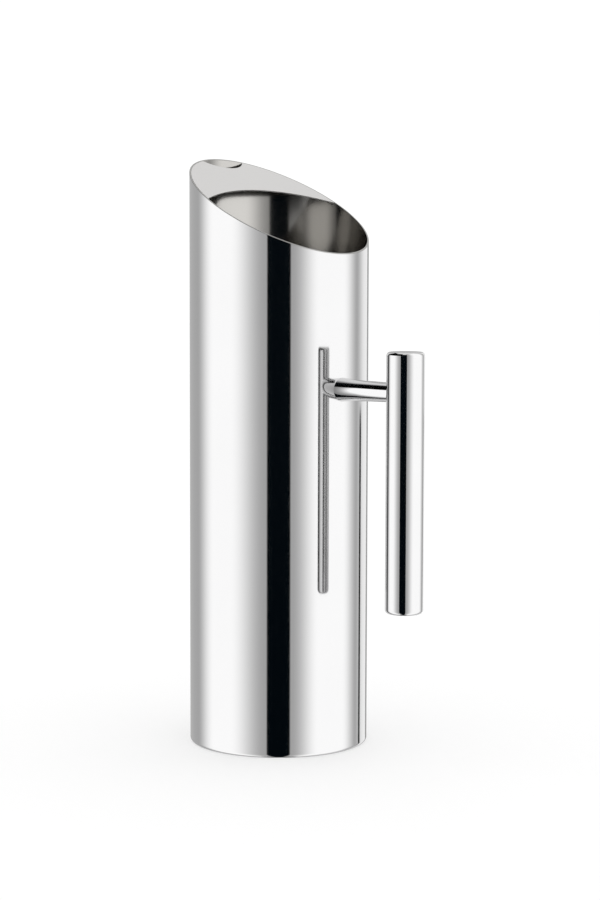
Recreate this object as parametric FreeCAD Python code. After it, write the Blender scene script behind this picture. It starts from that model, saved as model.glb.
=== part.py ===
import FreeCAD, Part
import math
import os

# Stainless steel water pitcher with an ice guard and a bar handle. Millimetres, +Z up.
# The origin is on the body's axis, in the plane that the pitcher stands on. +X points
# to the handle and -X to the spout. The pitcher is symmetric about the plane Y = 0.

# Body: a straight tube, its mouth cut by one slanted plane, high at the spout
BODY_RADIUS = 45.0
WALL = 0.8
BORE_RADIUS = BODY_RADIUS - WALL
MOUTH_SLANT = 28.5
MOUTH_HEIGHT = 271.5

# Base: a shallow drawn pan, butt-welded to the tube, standing on a flat foot ring
SEAM_HEIGHT = 8.0
BASE_CORNER_RADIUS = 1.8
FOOT_INNER_RADIUS = 37.0
PANEL_RADIUS = 34.6
PANEL_RISE = 1.2
SEAM_BEAD_WIDTH = 1.6
SEAM_BEAD_DEPTH = 0.4

# Ice guard: a flat plate flush with the mouth. Reaches lie in the plate, from the body's axis
GUARD_THICKNESS = 0.8
GUARD_EDGE_RADIUS = 90.0
GUARD_EDGE_REACH = 16.6
SLOT_RADIUS = 17.0
SLOT_REACH = 41.0
GUARD_BEAD_SIZE = 1.0

# Handle bar: a closed tube, parallel to the body
BAR_RADIUS = 9.2
BAR_WALL = 1.5
BAR_BORE_RADIUS = BAR_RADIUS - BAR_WALL
BAR_AXIS_X = 86.7
BAR_BOTTOM = 74.9
BAR_TOP = 200.6
CAP_EDGE_RADIUS = 2.0
CAP_THICKNESS = 2.6
SPIGOT_LENGTH = 3.0

# Stem: a turned sleeve that flares at the body, clamped over a stud
STEM_HEIGHT = 180.8
STEM_FOOT_RADIUS = 5.9
STEM_WAIST_RADIUS = 5.1
STEM_END_RADIUS = 4.65
STEM_FLARE_LENGTH = 13.0
STEM_BORE_RADIUS = 2.65
STEM_COUNTERBORE_RADIUS = 4.0
STEM_COUNTERBORE_DEPTH = 1.8

# Stud, its weld, and the threaded boss across the bar
STUD_RADIUS = 2.5
STUD_REACH = BAR_AXIS_X + 1.5
STUD_WELD_RADIUS = 3.6
STUD_WELD_HEIGHT = 1.2
BOSS_RADIUS = 3.8
BOSS_BORE_REACH = BAR_AXIS_X + 2.5

# How far a blank reaches past the curved face that trims it, and the size of a cutting slab
TRIM = 1.5
SLAB_SIDE = 400.0

ORIGIN = FreeCAD.Vector(0, 0, 0)
X_AXIS = FreeCAD.Vector(1, 0, 0)
Y_AXIS = FreeCAD.Vector(0, 1, 0)
Z_AXIS = FreeCAD.Vector(0, 0, 1)


def upright_cylinder(radius, bottom, top, axis_x=0.0):
    """A cylinder along Z between two heights."""
    return Part.makeCylinder(radius, top - bottom, FreeCAD.Vector(axis_x, 0, bottom), Z_AXIS)


def stem_cylinder(radius, start, end):
    """A cylinder on the stem's axis between two distances from the body's axis."""
    return Part.makeCylinder(radius, end - start, FreeCAD.Vector(start, 0, STEM_HEIGHT), X_AXIS)


def point(x, z):
    """A point in the plane Y = 0, where every turned outline is drawn."""
    return FreeCAD.Vector(x, 0, z)


def line(start, end):
    """A straight edge of an outline."""
    return Part.makeLine(point(*start), point(*end))


def corner(centre, radius, start_angle, end_angle):
    """A round edge of an outline, with its angles in degrees from +X towards +Z."""
    def on_arc(angle):
        turn = math.radians(angle)
        return point(centre[0] + radius * math.cos(turn), centre[1] + radius * math.sin(turn))
    middle_angle = (start_angle + end_angle) / 2
    return Part.Arc(on_arc(start_angle), on_arc(middle_angle), on_arc(end_angle)).toShape()


def turned(edges, centre, axis):
    """The solid made by turning a closed outline round a line."""
    return Part.Face(Part.Wire(edges)).revolve(centre, axis, 360)


def in_mouth(shape):
    """Carry a shape from the floor's plane to the mouth's plane, tilted up towards the spout."""
    carried = shape.copy()
    mouth = FreeCAD.Placement(point(0, MOUTH_HEIGHT), FreeCAD.Rotation(Y_AXIS, MOUTH_SLANT))
    carried.Placement = mouth.multiply(carried.Placement)
    return carried


def mouth_slab(bottom, top):
    """A wide slab parallel to the mouth, with its faces at two heights square to it."""
    low_corner = FreeCAD.Vector(-SLAB_SIDE / 2, -SLAB_SIDE / 2, bottom)
    return in_mouth(Part.makeBox(SLAB_SIDE, SLAB_SIDE, top - bottom, low_corner))


def mouth_cylinder(radius, centre_x):
    """A cylinder square to the mouth, which trims the plate's edge or cuts its slot."""
    height = SLAB_SIDE / 4
    return in_mouth(upright_cylinder(radius, -height, height, centre_x))


def make_body_tube():
    """The wall: a tube from the base seam to the slanted mouth."""
    outside = upright_cylinder(BODY_RADIUS, SEAM_HEIGHT, SLAB_SIDE)
    inside = upright_cylinder(BORE_RADIUS, SEAM_HEIGHT, SLAB_SIDE)
    return outside.cut(inside).cut(mouth_slab(0, SLAB_SIDE))


def make_base_pan():
    """The pan: a short flange, a rounded corner, a flat foot ring and a raised middle panel."""
    corner_centre = (BODY_RADIUS - BASE_CORNER_RADIUS, BASE_CORNER_RADIUS)
    inner_corner_radius = BASE_CORNER_RADIUS - WALL
    panel_top = PANEL_RISE + WALL
    edges = [
        line((BODY_RADIUS, SEAM_HEIGHT), (BODY_RADIUS, BASE_CORNER_RADIUS)),
        corner(corner_centre, BASE_CORNER_RADIUS, 0, -90),
        line((corner_centre[0], 0), (FOOT_INNER_RADIUS, 0)),
        line((FOOT_INNER_RADIUS, 0), (PANEL_RADIUS, PANEL_RISE)),
        line((PANEL_RADIUS, PANEL_RISE), (0, PANEL_RISE)),
        line((0, PANEL_RISE), (0, panel_top)),
        line((0, panel_top), (PANEL_RADIUS, panel_top)),
        line((PANEL_RADIUS, panel_top), (FOOT_INNER_RADIUS, WALL)),
        line((FOOT_INNER_RADIUS, WALL), (corner_centre[0], WALL)),
        corner(corner_centre, inner_corner_radius, -90, 0),
        line((BORE_RADIUS, BASE_CORNER_RADIUS), (BORE_RADIUS, SEAM_HEIGHT)),
        line((BORE_RADIUS, SEAM_HEIGHT), (BODY_RADIUS, SEAM_HEIGHT)),
    ]
    return turned(edges, ORIGIN, Z_AXIS)


def make_base_seam_weld():
    """The root bead that runs all round the seam, inside the body."""
    low = point(BORE_RADIUS, SEAM_HEIGHT - SEAM_BEAD_WIDTH / 2)
    crest = point(BORE_RADIUS - SEAM_BEAD_DEPTH, SEAM_HEIGHT)
    high = point(BORE_RADIUS, SEAM_HEIGHT + SEAM_BEAD_WIDTH / 2)
    edges = [Part.Arc(low, crest, high).toShape(), Part.makeLine(high, low)]
    return turned(edges, ORIGIN, Z_AXIS)


def guard_outline_cutters():
    """The round cutters for the guard's free edge and for the pour slot at the spout."""
    free_edge = mouth_cylinder(GUARD_EDGE_RADIUS, GUARD_EDGE_RADIUS - GUARD_EDGE_REACH)
    pour_slot = mouth_cylinder(SLOT_RADIUS, -SLOT_REACH - SLOT_RADIUS)
    return free_edge, pour_slot


def make_ice_guard():
    """The plate across the spout half of the mouth, its top flush with the cut rim."""
    bore = upright_cylinder(BORE_RADIUS, SEAM_HEIGHT, SLAB_SIDE)
    plate = mouth_slab(-GUARD_THICKNESS, 0).common(bore)
    for cutter in guard_outline_cutters():
        plate = plate.cut(cutter)
    return plate


def make_guard_weld():
    """Two beads in the corner under the plate, from its free edge to the pour slot."""
    bore = upright_cylinder(BORE_RADIUS, SEAM_HEIGHT, SLAB_SIDE)
    core = upright_cylinder(BORE_RADIUS - GUARD_BEAD_SIZE, SEAM_HEIGHT, SLAB_SIDE)
    under_plate = mouth_slab(-GUARD_THICKNESS - GUARD_BEAD_SIZE, -GUARD_THICKNESS)
    bead = under_plate.common(bore).cut(core)
    for cutter in guard_outline_cutters():
        bead = bead.cut(cutter)
    return bead


def make_handle_bar():
    """The bar's tube, with a hole for the boss in the wall that faces the body."""
    bottom = BAR_BOTTOM + CAP_THICKNESS
    top = BAR_TOP - CAP_THICKNESS
    outside = upright_cylinder(BAR_RADIUS, bottom, top, BAR_AXIS_X)
    inside = upright_cylinder(BAR_BORE_RADIUS, bottom, top, BAR_AXIS_X)
    boss_hole = stem_cylinder(BOSS_RADIUS, BAR_AXIS_X - BAR_RADIUS - TRIM, BAR_AXIS_X)
    return outside.cut(inside).cut(boss_hole)


def make_bottom_cap():
    """A flat end with a rounded edge, and a spigot that fits inside the tube."""
    def height(above_end):
        return BAR_BOTTOM + above_end
    side = BAR_AXIS_X + BAR_RADIUS
    spigot_side = BAR_AXIS_X + BAR_BORE_RADIUS
    spigot_end = CAP_THICKNESS + SPIGOT_LENGTH
    edge_centre = (side - CAP_EDGE_RADIUS, height(CAP_EDGE_RADIUS))
    edges = [
        line((BAR_AXIS_X, height(0)), (edge_centre[0], height(0))),
        corner(edge_centre, CAP_EDGE_RADIUS, -90, 0),
        line((side, edge_centre[1]), (side, height(CAP_THICKNESS))),
        line((side, height(CAP_THICKNESS)), (spigot_side, height(CAP_THICKNESS))),
        line((spigot_side, height(CAP_THICKNESS)), (spigot_side, height(spigot_end))),
        line((spigot_side, height(spigot_end)), (BAR_AXIS_X, height(spigot_end))),
        line((BAR_AXIS_X, height(spigot_end)), (BAR_AXIS_X, height(0))),
    ]
    return turned(edges, point(BAR_AXIS_X, 0), Z_AXIS)


def make_top_cap():
    """The bottom cap's mirror image at the bar's other end."""
    return make_bottom_cap().mirror(point(0, (BAR_BOTTOM + BAR_TOP) / 2), Z_AXIS)


def stem_flare():
    """The edge that swells from the straight taper to the foot, as an arc tangent to the taper."""
    bar_face = BAR_AXIS_X - BAR_RADIUS
    flare_end = BODY_RADIUS + STEM_FLARE_LENGTH
    taper = (STEM_WAIST_RADIUS - STEM_END_RADIUS) / (bar_face - flare_end)
    swell = STEM_FOOT_RADIUS - STEM_WAIST_RADIUS - taper * STEM_FLARE_LENGTH
    half_way = STEM_FLARE_LENGTH / 2
    middle_radius = STEM_WAIST_RADIUS + taper * half_way + swell / 4
    foot = point(BODY_RADIUS, STEM_HEIGHT + STEM_FOOT_RADIUS)
    middle = point(BODY_RADIUS + half_way, STEM_HEIGHT + middle_radius)
    waist = point(flare_end, STEM_HEIGHT + STEM_WAIST_RADIUS)
    return Part.Arc(foot, middle, waist).toShape()


def make_handle_stem():
    """The sleeve: flared at the body, coped to the body and to the bar, bored for the stud."""
    blank_start = BODY_RADIUS - TRIM
    blank_end = BAR_AXIS_X - BAR_RADIUS + TRIM
    edges = [
        line((blank_start, STEM_HEIGHT), (blank_start, STEM_HEIGHT + STEM_FOOT_RADIUS)),
        line((blank_start, STEM_HEIGHT + STEM_FOOT_RADIUS), (BODY_RADIUS, STEM_HEIGHT + STEM_FOOT_RADIUS)),
        stem_flare(),
        line((BODY_RADIUS + STEM_FLARE_LENGTH, STEM_HEIGHT + STEM_WAIST_RADIUS),
             (blank_end, STEM_HEIGHT + STEM_END_RADIUS)),
        line((blank_end, STEM_HEIGHT + STEM_END_RADIUS), (blank_end, STEM_HEIGHT)),
        line((blank_end, STEM_HEIGHT), (blank_start, STEM_HEIGHT)),
    ]
    blank = turned(edges, point(0, STEM_HEIGHT), X_AXIS)
    counterbore_end = BODY_RADIUS + STEM_COUNTERBORE_DEPTH
    cutters = [
        upright_cylinder(BODY_RADIUS, BAR_BOTTOM, BAR_TOP),
        upright_cylinder(BAR_RADIUS, BAR_BOTTOM, BAR_TOP, BAR_AXIS_X),
        stem_cylinder(STEM_BORE_RADIUS, blank_start, blank_end),
        stem_cylinder(STEM_COUNTERBORE_RADIUS, blank_start, counterbore_end),
    ]
    return blank.cut(cutters)


def make_stem_stud():
    """The stud, from the body's wall into the bar's boss."""
    stud = stem_cylinder(STUD_RADIUS, BODY_RADIUS - TRIM, STUD_REACH)
    return stud.cut(upright_cylinder(BODY_RADIUS, BAR_BOTTOM, BAR_TOP))


def make_stud_weld():
    """The collar of weld round the stud's foot, inside the sleeve's counterbore."""
    collar = stem_cylinder(STUD_WELD_RADIUS, BODY_RADIUS - TRIM, BODY_RADIUS + STUD_WELD_HEIGHT)
    stud = stem_cylinder(STUD_RADIUS, BODY_RADIUS - TRIM, STUD_REACH)
    return collar.cut([stud, upright_cylinder(BODY_RADIUS, BAR_BOTTOM, BAR_TOP)])


def make_bar_boss():
    """The bush across the bar: its near end fills the tube's hole, its far end meets the bore."""
    near_half = stem_cylinder(BOSS_RADIUS, BAR_AXIS_X - BAR_RADIUS - TRIM, BAR_AXIS_X)
    far_half = stem_cylinder(BOSS_RADIUS, BAR_AXIS_X, BAR_AXIS_X + BAR_RADIUS)
    near_half = near_half.common(upright_cylinder(BAR_RADIUS, BAR_BOTTOM, BAR_TOP, BAR_AXIS_X))
    far_half = far_half.common(upright_cylinder(BAR_BORE_RADIUS, BAR_BOTTOM, BAR_TOP, BAR_AXIS_X))
    bush = near_half.fuse(far_half).removeSplitter()
    return bush.cut(stem_cylinder(STUD_RADIUS, BODY_RADIUS, BOSS_BORE_REACH))


NODES = {
    "body_tube": make_body_tube,
    "base_pan": make_base_pan,
    "base_seam_weld": make_base_seam_weld,
    "ice_guard": make_ice_guard,
    "guard_weld": make_guard_weld,
    "handle_bar": make_handle_bar,
    "bar_top_cap": make_top_cap,
    "bar_bottom_cap": make_bottom_cap,
    "handle_stem": make_handle_stem,
    "stem_stud": make_stem_stud,
    "stud_weld": make_stud_weld,
    "bar_boss": make_bar_boss,
}

os.makedirs("parts", exist_ok=True)
for node, make in NODES.items():
    shape = make()
    print(f"{node}: {len(shape.Solids)} solid(s), valid {shape.isValid()}, {shape.Volume:.1f} mm3")
    shape.exportStep(f"parts/{node}.step")
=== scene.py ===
import math

import bmesh
import bpy
from mathutils import Matrix, Vector


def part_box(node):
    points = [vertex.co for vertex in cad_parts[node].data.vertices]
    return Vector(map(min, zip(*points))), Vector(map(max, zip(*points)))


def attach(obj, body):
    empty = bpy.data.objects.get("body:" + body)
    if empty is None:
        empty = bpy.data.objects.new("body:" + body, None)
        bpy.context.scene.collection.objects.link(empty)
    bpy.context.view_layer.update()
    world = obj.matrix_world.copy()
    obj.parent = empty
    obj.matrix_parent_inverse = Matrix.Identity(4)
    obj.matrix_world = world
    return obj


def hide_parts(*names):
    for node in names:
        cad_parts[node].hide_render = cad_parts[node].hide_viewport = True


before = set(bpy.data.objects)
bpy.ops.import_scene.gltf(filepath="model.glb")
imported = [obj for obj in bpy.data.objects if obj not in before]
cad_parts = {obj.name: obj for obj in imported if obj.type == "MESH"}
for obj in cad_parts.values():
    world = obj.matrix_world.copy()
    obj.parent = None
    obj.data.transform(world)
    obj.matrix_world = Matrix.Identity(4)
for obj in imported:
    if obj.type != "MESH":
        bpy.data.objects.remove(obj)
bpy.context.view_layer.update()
MM = 0.001


# ---------------------------------------------------------------- sizes, read from the frame

def vertices(node):
    """Every vertex of a CAD node, in metres."""
    return [v.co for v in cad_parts[node].data.vertices]


def radii_about(node, centre_x=0.0):
    """Smallest and largest distance of a node's vertices from an upright axis."""
    found = [math.hypot(p.x - centre_x, p.y) for p in vertices(node)]
    return min(found), max(found)


TUBE_LOW, TUBE_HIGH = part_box("body_tube")
BAR_LOW, BAR_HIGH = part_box("handle_bar")
TOP_CAP_LOW, TOP_CAP_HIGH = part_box("bar_top_cap")
BOTTOM_CAP_LOW, BOTTOM_CAP_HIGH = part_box("bar_bottom_cap")
STEM_LOW, STEM_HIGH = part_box("handle_stem")

BORE, RADIUS = radii_about("body_tube")
SEAM = TUBE_LOW.z
RIM_HIGH = TUBE_HIGH.z
RIM_LOW = max(p.z for p in vertices("body_tube") if p.x > 0.999 * RADIUS)
MOUTH_TAN = (RIM_HIGH - RIM_LOW) / (2 * RADIUS)
MOUTH_SLANT = math.atan(MOUTH_TAN)
MOUTH_HEIGHT = (RIM_HIGH + RIM_LOW) / 2

BAR_X = (BAR_LOW.x + BAR_HIGH.x) / 2
BAR_RADIUS = (BAR_HIGH.x - BAR_LOW.x) / 2
BAR_BORE = min(math.hypot(p.x - BAR_X, p.y) for p in vertices("handle_bar"))
STEM_Z = (STEM_LOW.z + STEM_HIGH.z) / 2
STEM_FOOT_RADIUS = (STEM_HIGH.z - STEM_LOW.z) / 2

# Design sizes that the nodes' boxes don't give
GUARD_THICKNESS = 0.8 * MM
GUARD_EDGE_RADIUS = 90.0 * MM
GUARD_EDGE_REACH = 16.6 * MM
SLOT_RADIUS = 17.0 * MM
SLOT_REACH = 41.0 * MM
BASE_CORNER_RADIUS = 1.8 * MM
FOOT_INNER_RADIUS = 37.0 * MM
PANEL_RADIUS = 34.6 * MM
PANEL_RISE = 1.2 * MM
PAN_BEND_RADIUS = 0.8 * MM
CAP_EDGE_RADIUS = 2.0 * MM
STEM_WAIST_RADIUS = 5.1 * MM
STEM_END_RADIUS = 4.65 * MM
STEM_FLARE_LENGTH = 13.0 * MM
STEM_BORE_RADIUS = 2.65 * MM
STEM_COUNTERBORE_RADIUS = 4.0 * MM
STEM_COUNTERBORE_DEPTH = 1.8 * MM

# Mesh fineness
ROUND = 384
BAR_ROUND = 192
ARC_STEPS = 6
HOLD = 0.05 * MM
RIM_EDGE = 0.16 * MM
PLATE_EDGE = 0.12 * MM
LONGEST_STRETCH = 3 * MM
WALL_ROWS = 60
GUARD_EDGE_STEPS = 120
SLOT_STEPS = 60
HALVINGS = 60
STEM_ROUND = 96
STEM_ROWS = 48
SHARP_CORNER = math.radians(40)


# ---------------------------------------------------------------- mesh building

def finish_piece(name, points, faces, materials, face_material=None):
    """A mesh object from points and faces, smooth all over, with its outward side out."""
    mesh = bpy.data.meshes.new(name)
    mesh.from_pydata([tuple(p) for p in points], [], faces)
    for material in materials:
        mesh.materials.append(material)
    if face_material:
        for polygon in mesh.polygons:
            polygon.material_index = face_material(polygon)
    outward = bmesh.new()
    outward.from_mesh(mesh)
    bmesh.ops.recalc_face_normals(outward, faces=outward.faces)
    outward.to_mesh(mesh)
    outward.free()
    mesh.shade_smooth()
    mesh.set_sharp_from_angle(angle=SHARP_CORNER)
    piece = bpy.data.objects.new(name, mesh)
    bpy.context.scene.collection.objects.link(piece)
    return piece


def ring_grid(rings, closed):
    """Quads between rings of equal length; with closed, the last ring joins the first."""
    count = len(rings[0])
    points = [p for ring in rings for p in ring]
    faces = []
    pairs = len(rings) if closed else len(rings) - 1
    for i in range(pairs):
        low, high = i * count, (i + 1) % len(rings) * count
        for j in range(count):
            k = (j + 1) % count
            faces.append((low + j, low + k, high + k, high + j))
    return points, faces


def rounded(corners, steps=ARC_STEPS):
    """A closed outline with round corners, from (x, z, radius) in order. Each corner's arc has a
    holding point just outside each end, so that the straight stretches stay flat."""
    outline = []
    for before, corner, after in zip(corners[-1:] + corners[:-1], corners, corners[1:] + corners[:1]):
        here = Vector(corner[:2])
        back = (Vector(before[:2]) - here).normalized()
        ahead = (Vector(after[:2]) - here).normalized()
        opening = back.angle(ahead)
        reach = corner[2] / math.tan(opening / 2)
        outline.append(here + back * (reach + HOLD))
        if corner[2] > 0:
            centre = here + (back + ahead).normalized() * (corner[2] / math.sin(opening / 2))
            start = here + back * reach - centre
            turn = start.angle_signed(here + ahead * reach - centre)
            for step in range(steps + 1):
                outline.append(centre + Matrix.Rotation(-turn * step / steps, 2) @ start)
        else:
            outline.append(here)
        outline.append(here + ahead * (reach + HOLD))
    return outline


def with_rows(outline, longest):
    """The same closed outline with its long stretches divided."""
    divided = []
    for start, end in zip(outline, outline[1:] + outline[:1]):
        parts = max(1, math.ceil((end - start).length / longest))
        divided.extend(start.lerp(end, part / parts) for part in range(parts))
    return divided


def turned_ring(outline, centre_x, count):
    """A closed ring made by turning a closed (radius, z) outline round an upright axis."""
    rings = []
    for radius, z in outline:
        turns = (2 * math.pi * j / count for j in range(count))
        rings.append([(centre_x + radius * math.cos(a), radius * math.sin(a), z) for a in turns])
    return ring_grid(rings, closed=True)


def turned_solid(outline, centre_x, count):
    """A solid made by turning an open (radius, z) outline, closed on the axis at both ends."""
    rings = []
    for radius, z in outline:
        turns = (2 * math.pi * j / count for j in range(count))
        rings.append([(centre_x + radius * math.cos(a), radius * math.sin(a), z) for a in turns])
    points, faces = ring_grid(rings, closed=False)
    last = len(points) - count
    faces.append(tuple(reversed(range(count))))
    faces.append(tuple(range(last, last + count)))
    return points, faces


def mouth_z(x):
    """Height of the mouth's plane above a place on the floor."""
    return MOUTH_HEIGHT - x * MOUTH_TAN


def in_mouth(along, across, height):
    """A point given in the mouth's plane, along it towards the handle, across it, and above it."""
    sin, cos = math.sin(MOUTH_SLANT), math.cos(MOUTH_SLANT)
    return (along * cos + height * sin, across, MOUTH_HEIGHT - along * sin + height * cos)


# ---------------------------------------------------------------- materials

def new_material(name):
    """An empty node material with its output, and a helper that adds nodes to it."""
    material = bpy.data.materials.new(name)
    material.use_nodes = True
    tree = material.node_tree
    tree.nodes.clear()

    def add(kind, **settings):
        node = tree.nodes.new(kind)
        for key, value in settings.items():
            setattr(node, key, value)
        return node

    output = add("ShaderNodeOutputMaterial")
    shader = add("ShaderNodeBsdfPrincipled")
    tree.links.new(shader.outputs["BSDF"], output.inputs["Surface"])
    return material, tree.links.new, add, shader


def steel(name, low, high, roughness, haze, bump, stretch=(1.0, 1.0, 1.0)):
    """Stainless steel: two tones of metal in soft patches, polishing haze and hairline marks."""
    material, link, add, shader = new_material(name)
    shader.inputs["Metallic"].default_value = 1.0
    place = add("ShaderNodeTexCoord")
    lie = add("ShaderNodeMapping")
    lie.inputs["Scale"].default_value = stretch
    link(place.outputs["Object"], lie.inputs["Vector"])

    patches = add("ShaderNodeTexNoise")
    patches.inputs["Scale"].default_value = 18.0
    patches.inputs["Detail"].default_value = 3.0
    link(place.outputs["Object"], patches.inputs["Vector"])
    tone = add("ShaderNodeMix", data_type="RGBA")
    tone.inputs["A"].default_value = (*low, 1.0)
    tone.inputs["B"].default_value = (*high, 1.0)
    link(patches.outputs["Fac"], tone.inputs["Factor"])
    link(tone.outputs["Result"], shader.inputs["Base Color"])

    marks = add("ShaderNodeTexNoise")
    marks.inputs["Scale"].default_value = 900.0
    marks.inputs["Detail"].default_value = 5.0
    marks.inputs["Roughness"].default_value = 0.65
    link(lie.outputs["Vector"], marks.inputs["Vector"])
    spread = add("ShaderNodeMapRange")
    spread.inputs["From Min"].default_value = 0.3
    spread.inputs["From Max"].default_value = 0.7
    spread.inputs["To Min"].default_value = roughness
    spread.inputs["To Max"].default_value = roughness + haze
    link(marks.outputs["Fac"], spread.inputs["Value"])
    link(spread.outputs["Result"], shader.inputs["Roughness"])

    relief = add("ShaderNodeBump")
    relief.inputs["Strength"].default_value = bump
    relief.inputs["Distance"].default_value = 0.002 * MM
    link(marks.outputs["Fac"], relief.inputs["Height"])
    link(relief.outputs["Normal"], shader.inputs["Normal"])
    return material


POLISHED = steel("polished_steel", (0.615, 0.614, 0.616), (0.65, 0.648, 0.65),
                 roughness=0.05, haze=0.03, bump=0.04, stretch=(1, 1, 0.1))
# Inside: the satin roughness is the real finish, and its darker tone is painted shade.
INSIDE = steel("satin_inside_painted_shade", (0.40, 0.39, 0.375), (0.45, 0.44, 0.42),
               roughness=0.10, haze=0.04, bump=0.2, stretch=(1, 1, 6))
UNDER_STEEL = steel("guard_underside", (0.58, 0.57, 0.55), (0.66, 0.65, 0.63),
                    roughness=0.42, haze=0.1, bump=0.4, stretch=(1, 8, 1))
# Rim: the ground roughness is the real finish, and its dark tone is painted shade along the rim line.
RIM_STEEL = steel("ground_rim_painted_shade", (0.30, 0.295, 0.285), (0.38, 0.375, 0.36),
                  roughness=0.25, haze=0.1, bump=0.4)
GUARD_STEEL = steel("guard_sheet", (0.62, 0.61, 0.60), (0.65, 0.64, 0.63),
                    roughness=0.06, haze=0.04, bump=0.2, stretch=(1, 8, 1))
WELD_STEEL = steel("weld_metal", (0.45, 0.43, 0.40), (0.62, 0.60, 0.57),
                   roughness=0.28, haze=0.2, bump=1.0)
TURNED_STEEL = steel("turned_steel", (0.55, 0.55, 0.55), (0.63, 0.63, 0.63),
                     roughness=0.2, haze=0.1, bump=0.6, stretch=(20, 1, 1))


# ---------------------------------------------------------------- pieces

def body():
    """The wall, with its fine rounded rim on the slanted mouth. Outside polished, rim ground,
    inside satin; the rim's and the inside's darker tones are painted shade."""
    rows = WALL_ROWS

    def column(turn):
        cos, sin = math.cos(turn), math.sin(turn)

        def at(radius, z):
            return (radius * cos, radius * sin, z)

        def rim(radius):
            return mouth_z(radius * cos)

        def edge(wall, inward):
            """From just under the rim, round its edge and on to the flat of the rim."""
            corner = Vector((wall, rim(wall)))
            under = Vector((wall, corner.y - RIM_EDGE))
            on_flat = Vector((wall + inward * RIM_EDGE, rim(wall + inward * RIM_EDGE)))
            past = wall + inward * (RIM_EDGE + HOLD)
            bend = []
            for step in range(ARC_STEPS + 1):
                t = step / ARC_STEPS
                bend.append(under.lerp(corner, t).lerp(corner.lerp(on_flat, t), t))
            return [Vector((wall, under.y - HOLD))] + bend + [Vector((past, rim(past)))]

        outer, inner = edge(RADIUS, -1), edge(BORE, 1)[::-1]

        def wall(radius, top):
            low = [SEAM, SEAM + HOLD]
            return [Vector((radius, z)) for z in low] + [
                Vector((radius, low[1] + (top - low[1]) * row / rows)) for row in range(1, rows)]

        loop = wall(RADIUS, outer[0].y) + outer + inner + wall(BORE, inner[-1].y)[::-1]
        return [at(p.x, p.y) for p in loop]

    columns = [column(2 * math.pi * j / ROUND) for j in range(ROUND)]
    rings = [list(ring) for ring in zip(*columns)]
    points, faces = ring_grid(rings, closed=True)
    edge_rings = ARC_STEPS + 3
    rim_start = rows + 1
    rim_end = rim_start + 2 * edge_rings - 1

    # The rim faces and inner faces take darker steels, whose tones are painted shade.
    def side(polygon):
        """The polygon's place in the piece's list of materials."""
        ring = polygon.index // ROUND
        if ring < rim_start:
            return 0
        return 2 if ring < rim_end else 1

    return finish_piece("polished_body", points, faces, [POLISHED, INSIDE, RIM_STEEL], side)


def base():
    """The drawn pan: flange, round corner, flat foot ring and raised panel."""
    wall = RADIUS - BORE
    panel_top = PANEL_RISE + wall
    soft = PAN_BEND_RADIUS
    corners = [
        (0.0, PANEL_RISE, 0), (PANEL_RADIUS, PANEL_RISE, soft), (FOOT_INNER_RADIUS, 0, soft),
        (RADIUS, 0, BASE_CORNER_RADIUS), (RADIUS, SEAM, 0), (BORE, SEAM, 0),
        (BORE, wall, BASE_CORNER_RADIUS - wall), (FOOT_INNER_RADIUS, wall, soft),
        (PANEL_RADIUS, panel_top, soft), (0.0, panel_top, 0)]
    outline = with_rows([p for p in rounded(corners) if p.x > HOLD / 2], LONGEST_STRETCH)
    seam_index = next(i for i, p in enumerate(outline) if p.x < BORE + HOLD and p.y > SEAM - HOLD / 2)
    points, faces = turned_solid(outline, 0.0, ROUND)
    upper_middle = len(faces) - 1
    lower_middle = upper_middle - 1

    # Faces inside the pan take the inside steel, whose darker tone is painted shade.
    def inside_or_out(polygon):
        past_seam = seam_index * ROUND <= polygon.index < lower_middle
        return 1 if past_seam or polygon.index == upper_middle else 0

    return finish_piece("polished_base", points, faces, [POLISHED, INSIDE], inside_or_out)


def guard_outline():
    """The plate's outline in the mouth's plane, as (along, across), in order round the plate."""
    cos = math.cos(MOUTH_SLANT)
    edge_centre = GUARD_EDGE_RADIUS - GUARD_EDGE_REACH
    slot_centre = -SLOT_REACH - SLOT_RADIUS

    def wall_meets(centre, radius):
        """Where a round cut meets the wall, by halving: the across distance."""
        low, high = 0.0, min(BORE, radius)
        for _ in range(HALVINGS):
            across = (low + high) / 2
            on_cut = centre - math.sqrt(radius ** 2 - across ** 2) if centre > 0 else \
                centre + math.sqrt(radius ** 2 - across ** 2)
            on_wall = -math.sqrt(BORE ** 2 - across ** 2) / cos
            low, high = (across, high) if on_cut > on_wall else (low, across)
        return low

    edge_end = wall_meets(edge_centre, GUARD_EDGE_RADIUS)
    slot_end = wall_meets(slot_centre, SLOT_RADIUS)

    def arc(centre, radius, start, end, count, side):
        """Points on a round cut, evenly spaced by angle, between two across distances."""
        first, last = math.asin(start / radius), math.asin(end / radius)
        turns = [first + (last - first) * i / count for i in range(count)]
        return [(centre + side * radius * math.cos(a), radius * math.sin(a)) for a in turns]

    def wall(start, end, count):
        first, last = math.asin(start / BORE), math.asin(end / BORE)
        turns = [first + (last - first) * i / count for i in range(count)]
        return [(-BORE * math.cos(a) / cos, BORE * math.sin(a)) for a in turns]

    return (arc(edge_centre, GUARD_EDGE_RADIUS, -edge_end, edge_end, GUARD_EDGE_STEPS, -1)
            + wall(edge_end, slot_end, GUARD_EDGE_STEPS)
            + arc(slot_centre, SLOT_RADIUS, slot_end, -slot_end, SLOT_STEPS, 1)
            + wall(-slot_end, -edge_end, GUARD_EDGE_STEPS))


def inset(outline, distance):
    """An outline moved inwards by a distance, with its corners mitred."""
    moved = []
    for before, here, after in zip(outline[-1:] + outline[:-1], outline, outline[1:] + outline[:1]):
        here = Vector(here)
        arrive = (here - Vector(before)).normalized()
        leave = (Vector(after) - here).normalized()
        inward = Vector((arrive.y, -arrive.x)) + Vector((leave.y, -leave.x))
        inward.normalize()
        share = inward.dot(Vector((arrive.y, -arrive.x)))
        moved.append(here + inward * distance / share)
    return moved


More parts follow.
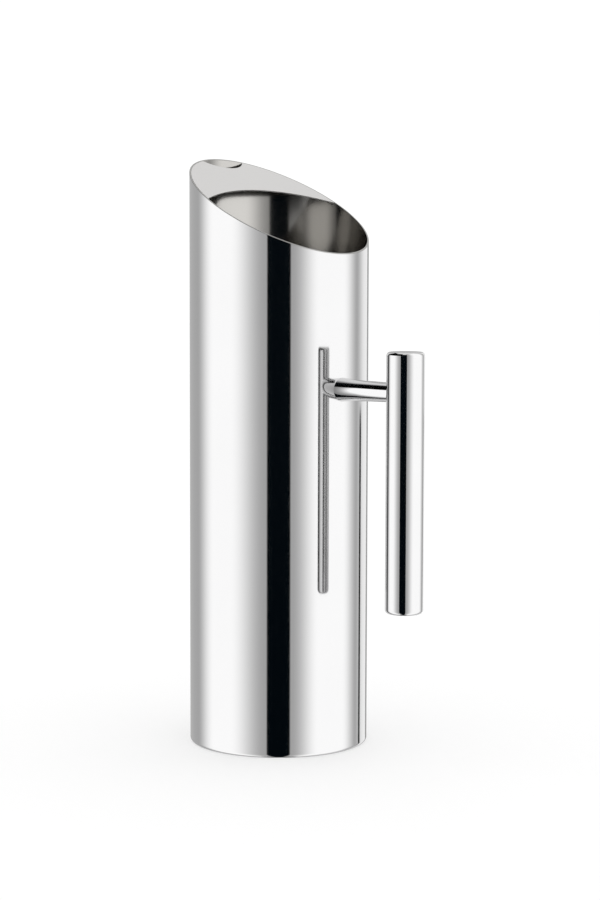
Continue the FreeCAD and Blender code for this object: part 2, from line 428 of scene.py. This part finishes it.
def guard():
    """The ice guard: a flat plate with fine rounded edges, flush with the rim."""
    outline = guard_outline()
    area = sum(a[0] * b[1] - b[0] * a[1] for a, b in zip(outline, outline[1:] + outline[:1]))
    if area > 0:
        outline.reverse()
    quarter = [math.pi / 2 * step / ARC_STEPS for step in range(ARC_STEPS + 1)]
    top_edge = [(PLATE_EDGE * (1 - math.cos(a)), -PLATE_EDGE * (1 - math.sin(a))) for a in quarter]
    upper = [(0.0, -PLATE_EDGE - HOLD)] + top_edge + [(PLATE_EDGE + HOLD, 0.0)]
    lower = [(d, -GUARD_THICKNESS - h) for d, h in reversed(upper)]
    rings = []
    for distance, height in lower + upper:
        rings.append([in_mouth(p.x, p.y, height) for p in inset(outline, distance)])
    points, faces = ring_grid(rings, closed=False)
    count = len(outline)
    under_faces = len(lower) * count
    faces.append(tuple(reversed(range(count))))
    faces.append(tuple(range(len(points) - count, len(points))))

    def side(polygon):
        return 1 if polygon.index < under_faces or polygon.index == len(faces) - 2 else 0

    return finish_piece("polished_guard", points, faces, [GUARD_STEEL, UNDER_STEEL], side)


def bar_tube():
    """The bar's tube, its ends square where the caps butt against it."""
    outline = rounded([(BAR_RADIUS, BAR_LOW.z, 0), (BAR_RADIUS, BAR_HIGH.z, 0),
                       (BAR_BORE, BAR_HIGH.z, 0), (BAR_BORE, BAR_LOW.z, 0)])
    points, faces = turned_ring(with_rows(outline, LONGEST_STRETCH), BAR_X, BAR_ROUND)
    return finish_piece("polished_bar", points, faces, [POLISHED])


def bar_cap(name, outer_z, shoulder_z, spigot_z):
    """A bar end: a flat face with a rounded edge, and the spigot inside the tube."""
    corners = [(0.0, outer_z, 0), (BAR_RADIUS, outer_z, CAP_EDGE_RADIUS), (BAR_RADIUS, shoulder_z, 0),
               (BAR_BORE, shoulder_z, 0), (BAR_BORE, spigot_z, 0), (0.0, spigot_z, 0)]
    outline = [p for p in rounded(corners, 2 * ARC_STEPS) if p.x > HOLD / 2]
    points, faces = turned_solid(outline, BAR_X, BAR_ROUND)
    return finish_piece(name, points, faces, [POLISHED])


def stem_radius(x):
    """The stem's radius: a straight taper, swelling in an arc towards the body."""
    bar_face = BAR_X - BAR_RADIUS
    flare_end = RADIUS + STEM_FLARE_LENGTH
    taper = (STEM_WAIST_RADIUS - STEM_END_RADIUS) / (bar_face - flare_end)
    straight = STEM_WAIST_RADIUS + taper * (flare_end - x)
    swell = STEM_FOOT_RADIUS - STEM_WAIST_RADIUS - taper * STEM_FLARE_LENGTH
    into_flare = min(max((flare_end - x) / STEM_FLARE_LENGTH, 0.0), 1.0)
    return straight + swell * into_flare ** 2


def stem():
    """The tapered sleeve between the body and the bar, hollow for its stud."""
    count, rows = STEM_ROUND, STEM_ROWS
    turns = [2 * math.pi * j / count for j in range(count)]

    def station(share, radius_at):
        """One ring, a share of the way from the body's surface to the bar's surface."""
        ring = []
        for turn in turns:
            radius = radius_at(RADIUS + share * (BAR_X - BAR_RADIUS - RADIUS))
            y, z = radius * math.cos(turn), radius * math.sin(turn)
            start = math.sqrt(RADIUS ** 2 - y ** 2)
            end = BAR_X - math.sqrt(BAR_RADIUS ** 2 - y ** 2)
            ring.append((start + share * (end - start), y, STEM_Z + z))
        return ring

    length = BAR_X - BAR_RADIUS - RADIUS
    near, far = HOLD / length, 1 - HOLD / length
    shares = [0.0, near] + [i / rows for i in range(1, rows)] + [far, 1.0]
    step = STEM_COUNTERBORE_DEPTH / length
    outside = [station(share, stem_radius) for share in shares]
    bore = [station(share, lambda x: STEM_BORE_RADIUS) for share in (1.0, far, 0.5, step + near, step)]
    counterbore = [station(share, lambda x: STEM_COUNTERBORE_RADIUS)
                   for share in (step, step - near, near, 0.0)]
    points, faces = ring_grid(outside + bore + counterbore, closed=True)
    return finish_piece("polished_stem", points, faces, [POLISHED])


def place(piece, slot, *nodes):
    """Put a piece on the body, in place of the CAD nodes that it stands for. Its slot is not used."""
    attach(piece, "root")
    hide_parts(*nodes)


place(body(), "body_polish", "body_tube")
place(base(), "body_polish", "base_pan")
place(guard(), "guard_polish", "ice_guard")
place(bar_tube(), "handle_polish", "handle_bar")
place(bar_cap("polished_bar_top", TOP_CAP_HIGH.z, BAR_HIGH.z, TOP_CAP_LOW.z), "handle_polish", "bar_top_cap")
place(bar_cap("polished_bar_bottom", BOTTOM_CAP_LOW.z, BAR_LOW.z, BOTTOM_CAP_HIGH.z),
      "handle_polish", "bar_bottom_cap")
place(stem(), "handle_polish", "handle_stem")

for node in ("base_seam_weld", "guard_weld", "stud_weld"):
    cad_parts[node].material_slots[0].material = WELD_STEEL
for node in ("stem_stud", "bar_boss"):
    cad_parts[node].material_slots[0].material = TURNED_STEEL


# ---------------------------------------------------------------- camera

CAMERA_AZIMUTH = 46.0
CAMERA_DISTANCE = 1.0748
CAMERA_HEIGHT = 0.2408
CAMERA_PITCH = 4.92
CAMERA_YAW = 0.57
CAMERA_ROLL = 0.14
CAMERA_LENS = 85.2


def from_camera_side(angle, distance, height):
    """A place round the body's axis. Angle 0 is towards the camera and 90 is to its right."""
    turn = math.radians(CAMERA_AZIMUTH + angle)
    return Vector((distance * math.sin(turn), -distance * math.cos(turn), height))


def make_camera():
    """A long lens level with the upper part of the pitcher, tilted a little down."""
    data = bpy.data.cameras.new("camera")
    data.lens = CAMERA_LENS
    data.sensor_width = 36.0
    data.clip_start = 0.01
    data.clip_end = 100.0
    camera = bpy.data.objects.new("camera", data)
    bpy.context.scene.collection.objects.link(camera)
    camera.location = from_camera_side(0.0, CAMERA_DISTANCE, CAMERA_HEIGHT)
    heading = math.radians(CAMERA_AZIMUTH - CAMERA_YAW)
    turn = (Matrix.Rotation(heading, 4, "Z") @ Matrix.Rotation(math.radians(90 - CAMERA_PITCH), 4, "X")
            @ Matrix.Rotation(math.radians(CAMERA_ROLL), 4, "Z"))
    camera.rotation_euler = turn.to_euler()
    bpy.context.scene.camera = camera


make_camera()


# ---------------------------------------------------------------- studio

# The lights are tall curved panels round the pitcher's axis. Angles are degrees away from the
# camera, heights are in metres, and a glow of 1 is a plain white sheet. The dark gap in front
# reaches FRONT_GAP to each side, and ramps hold where a light starts and stops changing
DIM = 0.55
BRIGHT = 1.5
FRONT_GAP = 13.0
SOFT_EDGE = 1.5
STAND_START = 120.0
STAND_END = 127.0
STAND_TOP = 0.15
STAND_SOFT_EDGE = 2.0
LEFT_RAMPS = (15, 60, 85, 120)
LEFT_TOP = 0.26
LEFT_TOP_SLOPE = 0.0004
RIGHT_RAMPS = (15, 50, 85, 115)
REAR_RAMP = (110, 135)
REAR_EXTRA = 0.6
LOW_BACKDROP = 0.4
HIGH_BACKDROP = 0.95
BACKDROP_RISE = (0.45, 0.6)
TOP_SOFTNESS = 0.01
PANEL_ROW = 0.01
STEPS_PER_DEGREE = 3


def smooth(value, low, high):
    """0 below low, 1 above high, and an even S between."""
    t = min(max((value - low) / (high - low), 0.0), 1.0)
    return t * t * (3 - 2 * t)


def between(angle, rise, full, fade, end):
    """1 in the middle of a range of angles and 0 outside it, with a soft ramp at each side."""
    return smooth(angle, rise, full) * (1 - smooth(angle, fade, end))


def left_glow(angle, height):
    """A soft panel on the left. Its top edge slopes, which keeps its light out of the mouth."""
    turn = -angle
    glow = DIM + (BRIGHT - DIM) * between(turn, *LEFT_RAMPS)
    top = LEFT_TOP + LEFT_TOP_SLOPE * turn
    glow *= 1 - smooth(height, top, top + TOP_SOFTNESS)
    return glow * smooth(turn, FRONT_GAP, FRONT_GAP + SOFT_EDGE)


def right_glow(angle, height):
    """A soft panel on the right and another behind it, with a short dark stand between them."""
    glow = DIM + (BRIGHT - DIM) * between(angle, *RIGHT_RAMPS) + REAR_EXTRA * smooth(angle, *REAR_RAMP)
    stand = between(angle, STAND_START, STAND_START + STAND_SOFT_EDGE, STAND_END - STAND_SOFT_EDGE, STAND_END)
    stand *= 1 - smooth(height, STAND_TOP - TOP_SOFTNESS, STAND_TOP)
    return glow * smooth(angle, FRONT_GAP, FRONT_GAP + SOFT_EDGE) * (1 - stand)


def backdrop_glow(angle, height):
    """A white sweep behind the pitcher, dimmer in its lower half."""
    return LOW_BACKDROP + (HIGH_BACKDROP - LOW_BACKDROP) * smooth(height, *BACKDROP_RISE)


def new_sheet(name, points, faces, material):
    """A studio object made of one sheet."""
    mesh = bpy.data.meshes.new(name)
    mesh.from_pydata(points, [], faces)
    mesh.materials.append(material)
    sheet = bpy.data.objects.new(name, mesh)
    bpy.context.scene.collection.objects.link(sheet)
    return sheet


def glowing_material():
    """Light in the colour that a sheet's own points carry."""
    material = bpy.data.materials.new("studio_light")
    material.use_nodes = True
    tree = material.node_tree
    tree.nodes.clear()
    output = tree.nodes.new("ShaderNodeOutputMaterial")
    emission = tree.nodes.new("ShaderNodeEmission")
    colour = tree.nodes.new("ShaderNodeAttribute")
    colour.attribute_name = "glow"
    tree.links.new(colour.outputs["Color"], emission.inputs["Color"])
    tree.links.new(emission.outputs["Emission"], output.inputs["Surface"])
    return material


STUDIO_LIGHT = glowing_material()


def light_panel(name, distance, start, end, low, high, glow):
    """A curved, glowing panel round the pitcher, which only the steel's reflections see."""
    steps = STEPS_PER_DEGREE * math.ceil(end - start)
    rows = math.ceil((high - low) / PANEL_ROW)
    points, faces, colours = [], [], []
    for row in range(rows + 1):
        height = low + (high - low) * row / rows
        for step in range(steps + 1):
            angle = start + (end - start) * step / steps
            points.append(from_camera_side(angle, distance, height))
            level = glow(angle, height)
            colours.extend((level, level, level, 1.0))
    for row in range(rows):
        for step in range(steps):
            corner = row * (steps + 1) + step
            faces.append((corner, corner + 1, corner + steps + 2, corner + steps + 1))
    panel = new_sheet(name, points, faces, STUDIO_LIGHT)
    panel.data.attributes.new("glow", "FLOAT_COLOR", "POINT").data.foreach_set("color", colours)
    panel.visible_camera = False
    panel.visible_diffuse = False
    panel.visible_shadow = False


light_panel("left_panel", distance=0.26, start=-165, end=-12, low=-1.3, high=0.8, glow=left_glow)
light_panel("right_panel", distance=0.36, start=12, end=150, low=-1.6, high=0.8, glow=right_glow)
light_panel("backdrop", distance=0.6, start=150, end=205, low=-1.6, high=1.1, glow=backdrop_glow)


# The room: the ceiling is where a direction's upward share is large
WORLD_GLOW = 1.05
CEILING_START = 0.74
CEILING_FULL = 0.84
FLOOR_RADIUS = 12.0
FLOOR_RINGS = 12
FLOOR_ROUND = 96
FLOOR_TONE = (0.6, 0.6, 0.6, 1.0)
FLOOR_GLOW = 0.4


def make_world():
    """White behind the pitcher. In the steel: a dark room, pale overhead."""
    world = bpy.data.worlds.new("studio")
    world.use_nodes = True
    bpy.context.scene.world = world
    tree = world.node_tree
    tree.nodes.clear()
    link = tree.links.new
    output = tree.nodes.new("ShaderNodeOutputWorld")
    path = tree.nodes.new("ShaderNodeLightPath")
    white = tree.nodes.new("ShaderNodeBackground")
    white.inputs["Color"].default_value = (1.0, 1.0, 1.0, 1.0)
    white.inputs["Strength"].default_value = WORLD_GLOW
    room = tree.nodes.new("ShaderNodeBackground")
    where = tree.nodes.new("ShaderNodeTexCoord")
    split = tree.nodes.new("ShaderNodeSeparateXYZ")
    pale = tree.nodes.new("ShaderNodeMapRange")
    pale.inputs["From Min"].default_value = CEILING_START
    pale.inputs["From Max"].default_value = CEILING_FULL
    tone = tree.nodes.new("ShaderNodeMix")
    tone.data_type = "RGBA"
    tone.inputs["A"].default_value = (0.001, 0.003, 0.005, 1.0)
    tone.inputs["B"].default_value = (1.0, 1.0, 0.99, 1.0)
    mix = tree.nodes.new("ShaderNodeMixShader")
    link(where.outputs["Generated"], split.inputs["Vector"])
    link(split.outputs["Z"], pale.inputs["Value"])
    link(pale.outputs["Result"], tone.inputs["Factor"])
    link(tone.outputs["Result"], room.inputs["Color"])
    link(path.outputs["Is Glossy Ray"], mix.inputs["Fac"])
    link(white.outputs["Background"], mix.inputs[1])
    link(room.outputs["Background"], mix.inputs[2])
    link(mix.outputs["Shader"], output.inputs["Surface"])


def make_floor():
    """A plain white floor that takes the pitcher's soft shadow, and doesn't show in the steel."""
    count, rings = FLOOR_ROUND, FLOOR_RINGS
    points = [(0.0, 0.0, 0.0)]
    for ring in range(1, rings + 1):
        radius = FLOOR_RADIUS * (ring / rings) ** 3
        turns = (2 * math.pi * j / count for j in range(count))
        points += [(radius * math.cos(a), radius * math.sin(a), 0.0) for a in turns]
    faces = [(0, 1 + j, 1 + (j + 1) % count) for j in range(count)]
    for ring in range(rings - 1):
        low, high = 1 + ring * count, 1 + (ring + 1) * count
        faces += [(low + j, high + j, high + (j + 1) % count, low + (j + 1) % count) for j in range(count)]
    material, link, add, shader = new_material("floor")
    shader.inputs["Base Color"].default_value = FLOOR_TONE
    shader.inputs["Roughness"].default_value = 1.0
    shader.inputs["Specular IOR Level"].default_value = 0.0
    shader.inputs["Emission Color"].default_value = (1.0, 1.0, 1.0, 1.0)
    shader.inputs["Emission Strength"].default_value = FLOOR_GLOW
    floor = new_sheet("floor", points, faces, material)
    floor.visible_glossy = False


make_world()
make_floor()
bpy.context.scene.view_settings.view_transform = "Standard"
bpy.context.scene.cycles.glossy_bounces = 16
bpy.context.scene.cycles.max_bounces = 20
